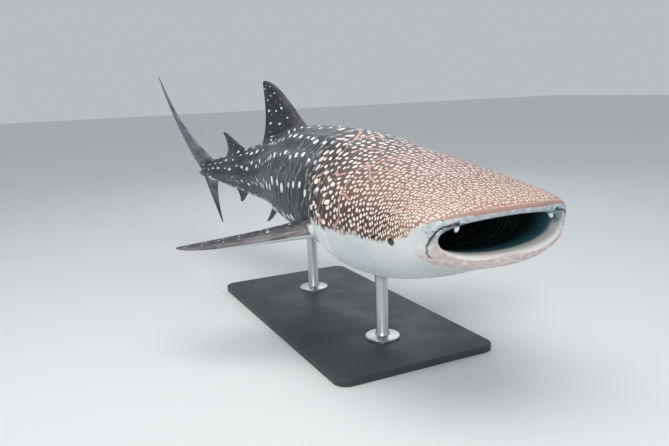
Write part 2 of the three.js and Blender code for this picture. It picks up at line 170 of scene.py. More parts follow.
pose = {
    "totalLength": 5.5,
    "axisHeight": 1.01,
    "overBase": 0.355,
    "turn": [[0, 0], [0.3, 0], [0.45, -4], [0.62, 14], [0.78, 13], [0.9, -10], [1, -11]],
    "lean": [[0, 0], [0.3, 0], [0.45, 3], [0.62, 11], [0.78, 17], [0.9, 19], [1, 18]],
    "droop": [[0, 0], [0.3, 0], [0.45, 2], [1, 2.5]],
    "steps": 400,
}
length = pose["totalLength"]


def turnAbout(vectors, axes, angles):
    c, s = np.cos(angles)[:, None], np.sin(angles)[:, None]
    along = np.sum(vectors * axes, axis=1)[:, None]
    return vectors * c + np.cross(axes, vectors) * s + axes * along * (1 - c)


def makeSpine():
    a = np.linspace(0, 1, pose["steps"] + 1)
    turn, droop, lean = (np.radians(through(pose[key], a)) for key in ("turn", "droop", "lean"))
    ahead = np.stack([np.cos(turn) * np.cos(droop), np.sin(turn) * np.cos(droop), np.sin(droop)], 1)
    level = np.cross([0, 0, 1], ahead)
    level /= np.linalg.norm(level, axis=1)[:, None]
    left = turnAbout(level, ahead, lean)
    steps = -ahead * length / pose["steps"]
    steps[0] = 0
    points = np.cumsum(steps, axis=0)
    over = points[round(pose["overBase"] * pose["steps"])] - [0, 0, pose["axisHeight"]]
    return {"a": a, "point": points - over, "ahead": ahead, "left": left, "up": np.cross(ahead, left)}


spine = makeSpine()


def spineAt(a, key):
    a = np.clip(a, 0, 1)
    return np.stack([np.interp(a, spine["a"], spine[key][:, i]) for i in range(3)], -1)


def place(a, b, c):
    a, b, c = np.broadcast_arrays(*(np.asarray(v, float) for v in (a, b, c)))
    return (spineAt(a, "point")
            + spineAt(a, "ahead") * (-np.minimum(a, 0) * length)[..., None]
            + spineAt(a, "left") * (b * length)[..., None]
            + spineAt(a, "up") * (c * length)[..., None])


def locate(points):
    # the share of the length, and how far left and up of the spine, for points in metres
    a, chunk = np.empty(len(points)), 20000
    for start in range(0, len(points), chunk):
        part = points[start:start + chunk]
        gaps = ((part[:, None, :] - spine["point"][None]) ** 2).sum(-1)
        a[start:start + chunk] = spine["a"][gaps.argmin(1)]
    for _ in range(5):
        off = points - spineAt(a, "point")
        a = a - np.sum(off * spineAt(a, "ahead"), axis=1) / length
    off = points - spineAt(a, "point")
    return a, np.sum(off * spineAt(a, "left"), 1) / length, np.sum(off * spineAt(a, "up"), 1) / length


# the body's form, in shares of its length

form = {
    "halfWidth": [[0, 0.08], [0.012, 0.0865], [0.065, 0.0935], [0.15, 0.0995], [0.185, 0.1005],
                  [0.24, 0.088], [0.3, 0.084], [0.42, 0.0745], [0.6, 0.045], [0.76, 0.0195], [0.82, 0.009]],
    "top": [[0, 0.0205], [0.012, 0.028], [0.05, 0.0385], [0.1, 0.0485], [0.15, 0.0575], [0.2, 0.0645],
            [0.25, 0.0725], [0.3, 0.0785], [0.42, 0.0785], [0.6, 0.05], [0.76, 0.0225], [0.82, 0.012]],
    "bottom": [[0, -0.029], [0.012, -0.0345], [0.05, -0.046], [0.1, -0.063], [0.15, -0.074], [0.22, -0.077],
               [0.42, -0.066], [0.6, -0.043], [0.76, -0.0205], [0.82, -0.01]],
    "widest": [[0, 0.003], [0.03, 0], [0.06, -0.005], [0.16, -0.013], [0.3, -0.004], [0.6, 0], [1, 0]],
    "upperSquareness": [[0, 3.6], [0.06, 2.6], [0.2, 2.15], [1, 2.05]],
    "lowerSquareness": [[0, 2.1], [0.1, 2.25], [0.3, 2.1], [1, 2]],
    "end": 0.82,
    "around": 168,
}
mouth = {
    "cornerBack": 0.02, "jawBack": 0.007, "warpFrom": 0.01, "warpEnds": 0.095,
    "lipRoll": 0.0075, "lipFrom": 0.006, "lipRings": 11,
    "corner": {"angle": -9, "spread": 17, "pinch": 0.0055, "pinchFrom": 0.005, "pinchEnds": 0.05},
    "opening": {"half": 0.0684, "level": -0.0008, "up": 0.0166, "down": 0.0175, "squareness": 2.25,
                "back": 0.55},
    "cavityFrom": 0.045,
    "cavity": [[0.006, 0.0136], [0.024, 0.018], [0.05, 0.021], [0.08, 0.024], [0.11, 0.029],
               [0.135, 0.041], [0.15, 0.058]],
    "cavityEnd": 0.156,
    "archHeight": 0.0016, "archSpacing": 0.0125, "archFrom": 0.062, "archFade": 0.01,
}
ridges = [
    {"angle": [[0, 90], [1, 90]], "width": 7,
     "height": [[0.22, 0], [0.3, 0.0022], [0.42, 0.002], [0.7, 0.0012], [0.8, 0]]},
    {"angle": [[0, 66], [0.3, 64], [0.7, 58], [1, 58]], "width": 4.5,
     "height": [[0.2, 0], [0.27, 0.0018], [0.55, 0.0018], [0.72, 0]]},
    {"angle": [[0, 44], [0.3, 40], [0.7, 30], [1, 30]], "width": 4.5,
     "height": [[0.23, 0], [0.3, 0.002], [0.6, 0.0022], [0.78, 0]]},
    {"angle": [[0, 20], [0.3, 16], [0.6, 3], [0.75, 0], [1, 0]], "width": 5,
     "height": [[0.24, 0], [0.36, 0.002], [0.6, 0.0045], [0.72, 0.0095], [0.79, 0.0115], [0.82, 0.008]]},
]
gills = {
    "first": 0.179, "spacing": 0.0135, "count": 5, "flap": 0.0026, "depth": 0.0034,
    "low": -34, "high": 46, "fade": 14, "slant": 0.006,
    "rise": (-0.45, -0.02), "fall": (0.1, 0.42),
    "rings": [-0.45, -0.32, -0.2, -0.12, -0.06, -0.02, 0.01, 0.04, 0.09, 0.15, 0.24, 0.34, 0.44],
}


def flankOf(angle):
    return np.degrees(np.arcsin(np.sin(np.radians(angle))))


def cosSin(angle):
    turn = np.radians(angle)
    return np.cos(turn), np.sin(turn)


def squared(x, squareness):
    # from round at 2 towards square above it
    return np.sign(x) * np.abs(x) ** (2 / squareness)


def ridgeRelief(a, angle):
    flank = flankOf(angle)
    return sum(through(r["height"], a) * np.exp(-(((flank - through(r["angle"], a)) / r["width"]) ** 2))
               for r in ridges)


def gillPlace(a, flank):
    back = (a - gills["first"] - gills["slant"] * flank / gills["high"]) / gills["spacing"]
    slit = np.rint(back)
    reach = (smoothstep(flank, gills["low"], gills["low"] + gills["fade"])
             * (1 - smoothstep(flank, gills["high"] - gills["fade"], gills["high"])))
    return back - slit, np.where((slit < 0) | (slit >= gills["count"]), 0, reach)


def gillRelief(a, angle):
    along, reach = gillPlace(a, flankOf(angle))
    rise = gills["flap"] * smoothstep(along, *gills["rise"]) * (along <= 0)
    cut = -gills["depth"] * (1 - smoothstep(along, *gills["fall"])) * (along > 0)
    return reach * (rise + cut)


def cornerPinch(a, angle):
    corner = mouth["corner"]
    near = np.exp(-(((flankOf(angle) - corner["angle"]) / corner["spread"]) ** 2))
    return corner["pinch"] * near * (1 - smoothstep(a, corner["pinchFrom"], corner["pinchEnds"]))


def mouthPull(a, angle):
    warp = 1 - smoothstep(a, mouth["warpFrom"], mouth["warpEnds"])
    c, s = cosSin(angle)
    return warp * (mouth["cornerBack"] * c ** 2 + mouth["jawBack"] * np.maximum(0, -s) ** 2)


def sectionSizes(a, upper):
    widest = through(form["widest"], a)
    tall = np.where(upper, through(form["top"], a) - widest, widest - through(form["bottom"], a))
    square = np.where(upper, through(form["upperSquareness"], a), through(form["lowerSquareness"], a))
    return widest, tall, square


def bodyPoint(a, angle, relief=0, shrink=0):
    c, s = cosSin(angle)
    widest, tall, square = sectionSizes(a, s > 0)
    wide = through(form["halfWidth"], a) - shrink - cornerPinch(a, angle)
    b = wide * squared(c, square) + relief * c
    return a + mouthPull(a, angle), b, widest + (tall - shrink) * squared(s, square) + relief * s


def openingPoint(a, angle):
    # the inner edge of the lips
    opening = mouth["opening"]
    c, s = cosSin(angle)
    b = opening["half"] * squared(c, opening["squareness"])
    up = np.where(s > 0, opening["up"], opening["down"]) * squared(s, opening["squareness"])
    return a + opening["back"] * mouthPull(a, angle), b, opening["level"] + up


def lipPoint(angle, share):
    # round the lip: 0 on its outside, 1 at the edge of the mouth
    start = mouth["lipFrom"] + 0 * angle
    outer, inner = bodyPoint(start, angle), openingPoint(start, angle)
    across = (1 - np.cos(share * pi)) / 2
    a, b, c = (p + (q - p) * across for p, q in zip(outer, inner))
    return a - mouth["lipRoll"] * np.sin(share * pi), b, c


def cavityPoint(a, angle):
    arches = smoothstep(a, mouth["archFrom"], mouth["archFrom"] + mouth["archFade"])
    ripple = arches * mouth["archHeight"] * np.sin(a / mouth["archSpacing"] * 2 * pi)
    wall, edge = bodyPoint(a, angle, 0, through(mouth["cavity"], a) + ripple), openingPoint(a, angle)
    open_ = 1 - smoothstep(a, mouth["lipFrom"], mouth["cavityFrom"])
    return [p + (q - p) * open_ for p, q in zip(wall, edge)]


def onFlank(a, angle, side, sink=0.0):
    x, b, c = bodyPoint(np.float64(a), np.float64(angle), -sink)
    return Vector(place(x, side * b, c))


ringPlan = {
    "cavity": np.linspace(0.15, 0.0085, 44),
    "behindLip": [0.0075, 0.009, 0.0105, 0.0125, 0.015, 0.018],
    "head": np.arange(0.0215, 0.14, 0.0038),
    # beside the gills: the rings, and how far they slant like the gills, from 0 to 1
    "toGills": (np.linspace(0.142, 0.1715, 8), np.linspace(0.1, 0.9, 8)),
    "fromGills": (np.linspace(0.2425, 0.275, 8), np.linspace(0.95, 0.1, 8)),
    "trunk": np.linspace(0.28, form["end"], 92),
}


def bodyRings():
    # each ring: its share, its kind, how far it slants and how far it is from the lip's outside, 0 to 1
    plan = ringPlan
    rings = [(mouth["cavityEnd"], "closed", 0, 0)]
    rings += [(a, "cavity", 0, 0) for a in plan["cavity"]]
    rings += [(mouth["lipFrom"], "lip", 0, share) for share in np.linspace(1, 0, mouth["lipRings"])]
    outside = [(a, 0) for a in (*plan["behindLip"], *plan["head"])] + list(zip(*plan["toGills"]))
    outside += [(gills["first"] + (slit + share) * gills["spacing"], 1)
                for slit in range(gills["count"]) for share in gills["rings"]]
    outside += list(zip(*plan["fromGills"])) + [(a, 0) for a in plan["trunk"]]
    rings += [(a, "skin", slant, 0) for a, slant in outside]
    return rings + [(form["end"], "closed", 0, 0)]


def makeBody():
    ringA, kind, slant, share = (np.array(values) for values in zip(*bodyRings()))
    around, last = form["around"], len(ringA) - 1

    def toPoint(column, row):
        angle = 90 - 360 * column / around
        angle = np.where(angle < -90, angle + 360, angle)
        a = ringA[row] + slant[row] * gills["slant"] * np.clip(flankOf(angle) / gills["high"], -1, 1.4)
        relief = np.where(kind[row] == "skin", ridgeRelief(a, angle) + gillRelief(a, angle), 0)
        isLip, isCavity = kind[row] == "lip", kind[row] == "cavity"
        kinds = bodyPoint(a, angle, relief), lipPoint(angle, share[row]), cavityPoint(a, angle)
        points = np.stack([np.where(isLip, lip, np.where(isCavity, wall, outer))
                           for outer, lip, wall in zip(*kinds)], 1)
        for end, beside in ((0, 1), (last, last - 1)):
            centre = points[row == beside].mean(0)
            if end == 0:
                centre[0] = mouth["cavityEnd"]
            points[row == end] = centre
        return place(*points.T)

    return wrapGrid("skin", around, last, toPoint)


# fins: lens sections between a leading and a trailing curve

# area: the shares of the length between which the fin lies, and whether above the spine
# look: how strong the spots, the light leading edge (above 1: a broad one) and the white trailing edge
# are, then the columns and rows of spots
fins = [
    {"lead": [[0.4, 0.066], [0.478, 0.078], [0.505, 0.145], [0.559, 0.152]],
     "trail": [[0.612, 0.041], [0.572, 0.072], [0.566, 0.118], [0.5615, 0.1505]],
     "thickness": 0.0125, "flare": 0.016, "area": (0.38, 0.625, True), "look": (0.8, 0.5, 0, 4, 6)},
    {"lead": [[0.63, 0.034], [0.672, 0.044], [0.686, 0.071], [0.706, 0.074]],
     "trail": [[0.728, 0.024], [0.705, 0.04], [0.702, 0.058], [0.708, 0.0732]],
     "thickness": 0.0065, "flare": 0.008, "area": (0.625, 0.745, True), "look": (0.5, 0.3, 0.3, 4, 3)},
    {"lead": [[0.655, -0.026], [0.69, -0.036], [0.704, -0.058], [0.722, -0.06]],
     "trail": [[0.742, -0.018], [0.72, -0.032], [0.716, -0.047], [0.724, -0.0592]],
     "thickness": 0.006, "flare": 0.007, "area": (0.64, 0.755, False), "look": (0.4, 0.3, 0, 4, 3)},
    {"lead": [[0.765, 0.008], [0.812, 0.042], [0.89, 0.148], [0.985, 0.2]],
     "trail": [[0.838, -0.012], [0.89, 0.03], [0.985, 0.112], [0.989, 0.1965]],
     "thickness": 0.0145, "flare": 0.014, "area": (0.755, 2, True), "look": (0.35, 1.2, 0, 4, 12)},
    {"lead": [[0.77, -0.006], [0.803, -0.03], [0.838, -0.09], [0.885, -0.125]],
     "trail": [[0.842, 0.014], [0.866, -0.018], [0.862, -0.071], [0.8875, -0.1235]],
     "thickness": 0.0125, "flare": 0.014, "area": (0.755, 2, False), "look": (0.3, 0.8, 0, 4, 8)},
]
pairedFins = [
    {"root": [0.222, 0.084, -0.028], "droop": 5, "raise": 2, "arch": 0.43,
     "lead": [[-0.012, -0.03], [0.008, 0.045], [0.04, 0.13], [0.121, 0.142]],
     "trail": [[0.09, -0.03], [0.062, 0.03], [0.088, 0.09], [0.1235, 0.14]],
     "thickness": 0.017, "flare": 0.02, "look": (0.75, 1, 0, 5, 8)},
    {"root": [0.492, 0.034, -0.036], "droop": 62, "raise": 0, "arch": 0,
     "lead": [[-0.004, -0.02], [0.012, 0.008], [0.02, 0.03], [0.042, 0.034]],
     "trail": [[0.058, -0.02], [0.042, 0.008], [0.038, 0.02], [0.0445, 0.033]],
     "thickness": 0.006, "flare": 0.006, "look": (0.4, 0.3, 0.8, 4, 3)},
]
finMesh = {"chord": 20, "span": 34, "tip": 0.0006, "taper": 0.8, "flareFade": 0.11, "fullest": 0.62,
           "roundness": 0.85, "thinnest": 0.7}


def bezier(points, t):
    p = np.array(points, float)
    t = np.asarray(t)[:, None]
    return ((1 - t) ** 3 * p[0] + 3 * (1 - t) ** 2 * t * p[1] + 3 * (1 - t) * t * t * p[2] + t ** 3 * p[3])


def makeFin(name, spec, toSpace):
    chord, span = finMesh["chord"], finMesh["span"]

    def toPoint(column, row):
        t = np.clip(row, 0, span) / span
        lead, trail = bezier(spec["lead"], t), bezier(spec["trail"], t)
        step = np.where(column <= chord, column, 2 * chord - column)
        share = (1 - np.cos(pi * step / chord)) / 2
        side = np.where(column <= chord, 1, -1)
        flare = spec["flare"] * np.exp(-t / finMesh["flareFade"])
        half = (spec["thickness"] * (1 - t) ** finMesh["taper"] + flare) / 2 + finMesh["tip"]
        lens = np.sin(pi * share ** finMesh["fullest"]) ** finMesh["roundness"]
        edge = (step == 0) | (step == chord)
        thick = side * np.where(edge, 0, np.maximum(half * lens, finMesh["tip"] * finMesh["thinnest"]))
        flat = lead + (trail - lead) * share[:, None]
        middle = (lead + trail) / 2
        closed = (row == 0) | (row == span)
        flat = np.where(closed[:, None], middle, flat)
        return toSpace(flat[:, 0], np.where(closed, 0, thick), flat[:, 1])

    return wrapGrid(name, 2 * chord, span, toPoint)


def pairedFrame(spec, side):
    a, b, c = spec["root"]
    ahead, left = Vector(spineAt(a, "ahead")), Vector(spineAt(a, "left"))
    origin = Vector(place(a, side * b, c))
    out = (Matrix.Rotation(radians(-side * spec["droop"]), 3, ahead) @ (left * side)).normalized()
    back = (Matrix.Rotation(radians(-side * spec["raise"]), 3, out) @ -ahead).normalized()
    normal = (back.cross(out) * -side).normalized()
    return [np.array(v) for v in (origin, back, out, normal)]


def pairedSpace(spec, side):
    origin, back, out, normal = pairedFrame(spec, side)

    def toSpace(x, thick, y):
        hang = thick - spec["arch"] * np.maximum(0, y) ** 2
        return origin + length * (x[:, None] * back + y[:, None] * out + hang[:, None] * normal)
    return toSpace


# the one skin: body, fins, lids and nose flaps joined, sockets and grooves cut

face = {
    "eye": {"a": 0.042, "angle": -4, "sink": 0.003, "radius": 0.0042},
    "lid": {"radius": 0.0034, "thick": 0.0012, "sink": 0.0004},
    "nostril": {"angle": 45, "share": 0.64, "lift": 0, "length": 0.0042, "radius": 0.0026},
    "flap": {"angle": 42.5, "share": 0.93, "lift": -0.0012, "length": 0.0039, "radius": 0.0024},
    "spiracle": {"a": 0.0795, "angle": 0.5, "radius": 0.0024},
    "groove": [[41, 0.6], [32, 0.54], [20, 0.54], [1, 0.42], [-11.5, 0.17], [-24, 0.02], [-31, 0]],
    "grooveRadius": 0.0008,
    "socket": 1.04, "noseLean": 24, "noseFlat": 0.8, "spiracleFlat": 0.7,
    "probe": (0.004, 4), "middle": -0.005,
}
sides = {"right": -1, "left": 1}


def bead(name, at, radius, stretch=(1, 1, 1), tilt=0.0, segments=40):
    clearSelection()
    bpy.ops.mesh.primitive_uv_sphere_add(segments=segments, ring_count=segments // 2, radius=1)
    piece = takeNew(name)
    turn = Matrix.Rotation(tilt, 4, "X") @ Matrix.Diagonal((*(radius * s for s in stretch), 1))
    piece.data.transform(Matrix.Translation(at) @ turn)
    piece.data.update()
    return piece


def onLip(angle, share, side, lift=0.0):
    a, b, c = lipPoint(np.float64(angle), share)
    return Vector(place(a, side * b, c + lift))


def outwardAt(a, angle, side):
    stepA, stepAngle = face["probe"]
    back = onFlank(a + stepA, angle, side) - onFlank(a - stepA, angle, side)
    up = onFlank(a, angle + stepAngle, side) - onFlank(a, angle - stepAngle, side)
    normal = back.cross(up).normalized()
    fromMiddle = onFlank(a, angle, side) - Vector(place(a, 0, face["middle"]))
    return normal if normal.dot(fromMiddle) > 0 else -normal


def spotAt(key, side, sink=0.0):
    spot = face[key]
    if "a" in spot:
        return onFlank(spot["a"], spot["angle"], side, sink)
    return onLip(spot["angle"], spot["share"], side, spot["lift"])


def lidRing(name, side):
    eye, lid = face["eye"], face["lid"]
    clearSelection()
    bpy.ops.mesh.primitive_torus_add(major_segments=48, minor_segments=14,
                                     major_radius=lid["radius"] * length, minor_radius=lid["thick"] * length)
    piece = takeNew(name)
    normal = outwardAt(eye["a"], eye["angle"], side)
    turn = normal.to_track_quat("Z", "Y").to_matrix().to_4x4()
    piece.data.transform(Matrix.Translation(spotAt("eye", side, lid["sink"])) @ turn)
    return piece


def grooveTube(name, side):
    points = [onLip(angle, share, side) for angle, share in face["groove"]]
    curve = bpy.data.curves.new(name, "CURVE")
    setAll(curve, {"dimensions": "3D", "bevel_depth": face["grooveRadius"] * length, "bevel_resolution": 3,
                   "resolution_u": 12, "use_fill_caps": True})
    spline = curve.splines.new("BEZIER")
    spline.bezier_points.add(len(points) - 1)
    for knot, point in zip(spline.bezier_points, points):
        knot.co = point
        knot.handle_left_type = knot.handle_right_type = "AUTO"
    makeActive(addObject(name, curve))
    bpy.ops.object.convert(target="MESH")
    piece = bpy.context.object
    tidyShell(piece)
    return piece


skin = makeBody()
print("body", len(skin.data.vertices))
for number, spec in enumerate(fins):
    joinOn(skin, makeFin("fin%d" % number, spec, place))
for spec in pairedFins:
    for sideName, side in sides.items():
        joinOn(skin, makeFin("fin_" + sideName, spec, pairedSpace(spec, side)))
print("fins joined", len(skin.data.vertices))

for sideName, side in sides.items():
    eye, nostril, flap, spiracle = (face[key] for key in ("eye", "nostril", "flap", "spiracle"))
    flapSize, pitSize = ((spot["radius"], spot["radius"] * face["noseFlat"], spot["length"])
                         for spot in (flap, nostril))
    lean = side * radians(face["noseLean"])
    joinOn(skin, lidRing("lid_" + sideName, side))
    joinOn(skin, bead("flap", spotAt("flap", side), length, flapSize, lean))
    cutters = [
        bead("socket", spotAt("eye", side, eye["sink"]), eye["radius"] * length * face["socket"]),
        bead("pit", spotAt("nostril", side), length, pitSize, lean),
        bead("spiracle", spotAt("spiracle", side), spiracle["radius"] * length, (1, 1, face["spiracleFlat"])),
        grooveTube("groove", side),
    ]
    for cutter in cutters:
        joinOn(skin, cutter, "DIFFERENCE")
print("face cut", len(skin.data.vertices))


# where each point of the skin lies, for its markings

markings = {
    "headSpacing": 0.0034,  # between the snout's dots, as a share of the length
    "headGrowth": 5.0,  # how fast that grows towards the tail
    "column": 0.0185,  # between the trunk's columns of spots at the gills
    "columnGrowth": 0.7,  # how fast that grows towards the tail
    "rows": [1, 1, 1, 3],  # rows of spots between the ridges, from the back down to the belly
    "paleEdge": [[0, 30], [0.006, 14], [0.013, 4], [0.021, -1], [0.042, -3.5], [0.076, -2], [0.13, -1],
                 [0.19, -2], [0.233, -6], [0.26, -19], [0.3, -30], [0.4, -36], [0.6, -44], [0.8, -58]],
    "paleFade": (-8, 6),  # degrees
    "finFade": (0.003, 0.0075),  # off the body's plain section
    "keelFrom": (0.55, 0.6), "keelHalf": 8, "keelReach": 2.2,
    "finStart": 0.18, "lipEnds": 0.163, "wallEnds": 0.15,
    "finMap": (40, 60), "leftMap": 20,  # keep the fins' and the left side's spots apart from the rest
    # painted shade in the gill slits, and in the eye sockets, nostrils and spiracles
    "slitShade": (-0.03, 0.02, 0.1, 0.26),
    "shadedPits": {"eye": 1.04, "nostril": 1.15, "spiracle": 1.25},
    "flapWhite": (0.0028, 0.004), "flapDrop": 0.0015,
    "finWhite": (0.86, 0.95), "leadReach": {"narrow": 0.3, "broad": 0.8}, "leadFade": 0.26,
    # how broad and how full the painted sheen along the ridges is
    "sheenSpread": 1.3, "sheenFull": 0.002,
}
# the vectors, then the single values
markNames = ("headMap", "rowMap", "lay", "tone", "finLay", "lip", "white", "deep", "recessShade")


def arcTable():
    stations = np.linspace(0, 1, 161)
    angles = np.linspace(90, -90, 181)
    a, angle = np.meshgrid(stations, angles, indexing="ij")
    _, b, c = bodyPoint(a, angle)
    step = np.hypot(np.diff(b, axis=1), np.diff(c, axis=1))
    return np.concatenate([np.zeros((len(stations), 1)), np.cumsum(step, axis=1)], axis=1)


def lookUp(table, a, flank):
    x = np.clip(a, 0, 1) * (table.shape[0] - 1)
    y = (90 - np.clip(flank, -90, 90)) / 180 * (table.shape[1] - 1)
    i, j = np.minimum(x.astype(int), table.shape[0] - 2), np.minimum(y.astype(int), table.shape[1] - 2)
    s, t = x - i, y - j
    return ((1 - s) * ((1 - t) * table[i, j] + t * table[i, j + 1])
            + s * ((1 - t) * table[i + 1, j] + t * table[i + 1, j + 1]))


def setAttribute(piece, name, values):
    values = np.asarray(values, float)
    kind, field = ("FLOAT", "value") if values.ndim == 1 else ("FLOAT_VECTOR", "vector")
    piece.data.attributes.new(name, kind, "POINT").data.foreach_set(field, values.ravel())


def segmentGap(points, start, end):
    line = end - start
    t = np.clip((points - start) @ line / (line @ line), 0, 1)
    return np.linalg.norm(points - start - t[:, None] * line, axis=1)


def withinFin(spec, x, y):
    # how far across the fin a point lies, 0 at the leading edge, and how far out along it
    t = np.linspace(0, 1, 101)
    lead, trail = bezier(spec["lead"], t), bezier(spec["trail"], t)
    line = trail - lead
    off = np.stack([x, y], 1)[:, None] - lead[None]
    side = line[None, :, 0] * off[..., 1] - line[None, :, 1] * off[..., 0]
    last = (side > 0).sum(1).clip(1, len(t) - 1)
    rows = np.arange(len(x))
    before, after = side[rows, last - 1], side[rows, last]
    share = np.clip(before / np.where(before == after, 1, before - after), 0, 1)
    out = t[last - 1] + share * t[1]
    start, end = bezier(spec["lead"], out), bezier(spec["trail"], out)
    chord = end - start
    across = np.sum((np.stack([x, y], 1) - start) * chord, 1) / np.maximum(np.sum(chord * chord, 1), 1e-9)
    return np.clip(across, 0, 1), out


def finPlaces(points, a, b, c, fin):
    across, out = np.zeros(len(a)), np.zeros(len(a))
    look = np.zeros((len(a), 5))  # spots, light leading edge, white trailing edge, columns, rows
    above = c > np.where(a > 0.8, 0.004 + 0.3 * (a - 0.8), 0)
    for spec in fins:
        start, end, isUpper = spec["area"]
        here = (fin > 0) & (a >= start) & (a < end) & (above == isUpper) & (np.abs(b) < 0.03)
        across[here], out[here] = withinFin(spec, a[here], c[here])
        look[here] = spec["look"]
    for spec in pairedFins:
        rootA, rootB, _ = spec["root"]
        for side in sides.values():
            near = (fin > 0) & (np.sign(b) == side) & (np.abs(a - rootA - 0.05) < 0.12) & (c < 0.01)
            near &= (np.abs(b) > 0.06) if rootB > 0.06 else (a > 0.45)
            origin, back, outward, _ = pairedFrame(spec, side)
            off = points[near] - origin
            across[near], out[near] = withinFin(spec, off @ back / length, off @ outward / length)
            look[near] = spec["look"]
    return across, out, look


def alongBody(a, b, c):
    # undo the mouth's pull: each point's ring and angle, how far out it is (1 on the body's plain
    # section), and that section's size
    ring = a.copy()
    angle = np.zeros(len(a))
    for _ in range(6):
        widest, tall, square = sectionSizes(ring, c > through(form["widest"], ring))
        wide = through(form["halfWidth"], ring) - cornerPinch(ring, angle)
        up = c - widest
        x, y = (np.abs(b) / wide) ** (square / 2), (np.abs(up) / tall) ** (square / 2)
        angle = np.degrees(np.arctan2(np.sign(up) * y, x))
        ring = a - mouthPull(ring, angle)
    return ring, angle, (x ** 2 + y ** 2) ** (1 / square), np.minimum(wide, tall)


def gapTo(points, spot):
    return np.linalg.norm(points - np.array(spot), axis=1) / length


def paintRecessShade(points, recessShade):
    # painted shade in the eye sockets, nostrils, spiracles and grooves, added to the painted shade in the
    # gill slits
    def addShade(gap, start, end):
        return np.maximum(recessShade, 1 - smoothstep(gap, start, end))

    for side in sides.values():
        for key, spread in markings["shadedPits"].items():
            radius = face[key]["radius"] * spread
            recessShade = addShade(gapTo(points, spotAt(key, side)), radius * 0.8, radius)
        path = np.array([onLip(knotAngle, share, side) for knotAngle, share in face["groove"]])
        near = np.min([segmentGap(points, p, q) for p, q in zip(path, path[1:])], axis=0) / length
        recessShade = addShade(near, face["grooveRadius"] * 0.8, face["grooveRadius"] * 1.5)
    return recessShade


def markSkin(piece):
    points = coordsOf(piece)
    a, b, c = locate(points)
    ring, angle, reach, size = alongBody(a, b, c)
    m = markings
    outside = np.where(a > form["end"] - 0.004, 1, smoothstep((reach - 1) * size, *m["finFade"]))
    keel = smoothstep(m["keelHalf"] - np.abs(angle), 0, 3) * smoothstep(a, *m["keelFrom"])
    fin = outside * (1 - keel * (reach < m["keelReach"]) * (a < form["end"])) * (a > m["finStart"])

    wallA = np.clip(ring, mouth["lipFrom"], m["wallEnds"])
    _, outerB, outerC = bodyPoint(wallA, angle)
    _, innerB, innerC = cavityPoint(wallA, angle)
    thick = np.hypot(outerB - innerB, outerC - innerC)
    lip = np.clip(np.hypot(outerB - np.abs(b), outerC - c) / thick, 0, 1.1)
    lip = lip * (ring < m["lipEnds"]) * (reach < 1.03)

    grow = m["headGrowth"]
    radius = np.exp(-grow * ring) / (grow * m["headSpacing"])
    turn = grow * lookUp(arcTable(), ring, angle) * np.sign(b)

    edges = np.stack([through(r["angle"], ring) for r in ridges] + [np.full(len(a), -90.0)], 1)
    row = sum(span * np.clip((edges[:, i] - angle) / (edges[:, i] - edges[:, i + 1]), 0, 1)
              for i, span in enumerate(m["rows"]))
    across, out, look = finPlaces(points, a, b, c, fin)
    useFin = fin > 0.5
    widening = m["columnGrowth"]
    column = -np.exp(-widening * (ring - gills["first"])) / (widening * m["column"])
    finColumn, finRow = across * look[:, 3] + m["finMap"][0], out * look[:, 4] + m["finMap"][1]

    # painted shade in the gill slits, then in the face's pits and grooves
    behind, gillReach = gillPlace(ring, angle)
    slitShade = m["slitShade"]
    recessShade = gillReach * smoothstep(behind, *slitShade[:2]) * (1 - smoothstep(behind, *slitShade[2:]))
    recessShade = paintRecessShade(points, recessShade * (lip < 0.2) * (1 - fin))

    flap = face["flap"]
    tips = [onLip(flap["angle"], flap["share"], side, flap["lift"] - m["flapDrop"])
            for side in sides.values()]
    flapWhite = 1 - smoothstep(np.min([gapTo(points, tip) for tip in tips], axis=0), *m["flapWhite"])
    white = smoothstep(across, *m["finWhite"]) * look[:, 2]

    underside = smoothstep(-coordsOf(piece, "normal")[:, 2], 0.0, 0.25)
    pale = smoothstep(through(m["paleEdge"], ring) - angle, *m["paleFade"])
    paired = fin * (np.abs(b) > 0.02) * (a < 0.6)
    pale = np.where(paired > 0.5, underside, pale * (1 - fin))
    # painted sheen along the ridges, the middle of the back among them, as lit from above
    ridgeSheen = sum(np.exp(-(((angle - through(r["angle"], ring)) / (r["width"] * m["sheenSpread"])) ** 2))
                * np.clip(through(r["height"], ring) / m["sheenFull"], 0, 1) for r in ridges)
    inside = smoothstep(lip, 0.75, 0.97) * smoothstep(ring, 0.004, 0.009)
    leadReach = np.where(look[:, 1] > 1, m["leadReach"]["broad"], m["leadReach"]["narrow"])
    lead = np.minimum(look[:, 1], 1) * smoothstep(leadReach - across, 0, m["leadFade"])

    values = {
        "headMap": (radius * np.cos(turn), radius * np.sin(turn), 0 * a),
        "rowMap": (np.where(useFin, finColumn, column),
                   np.where(useFin, finRow, row + m["leftMap"] * (b > 0)), 0 * a),
        "lay": (ring, angle / 90, fin),
        "tone": (pale, inside, np.clip(ridgeSheen, 0, 1) * (1 - fin)),
        "finLay": (np.where(useFin, look[:, 0], 1), lead * fin, white * fin),
        "lip": lip,
        "white": flapWhite * (recessShade < 0.5),
        "deep": a - openingPoint(mouth["lipFrom"], angle)[0],
        # painted shade in the pits, grooves and gill slits
        "recessShade": recessShade,
    }
    for name in markNames:
        setAttribute(piece, name, np.transpose(values[name]))


markSkin(skin)
smoothShade(skin, 45)
print("skin marked")


# materials

def feed(node, inputs):
    for key, value in inputs.items():
        if isinstance(value, bpy.types.NodeSocket):
            node.id_data.links.new(value, node.inputs[key])
        else:
            node.inputs[key].default_value = value
    return node


def addNode(kind, inputs, **settings):
    # the new node goes into the tree of the sockets that feed it
    tree = next(value.id_data for value in inputs.values() if isinstance(value, bpy.types.NodeSocket))
    made = tree.nodes.new("ShaderNode" + kind)
    setAll(made, settings)
    return feed(made, inputs)


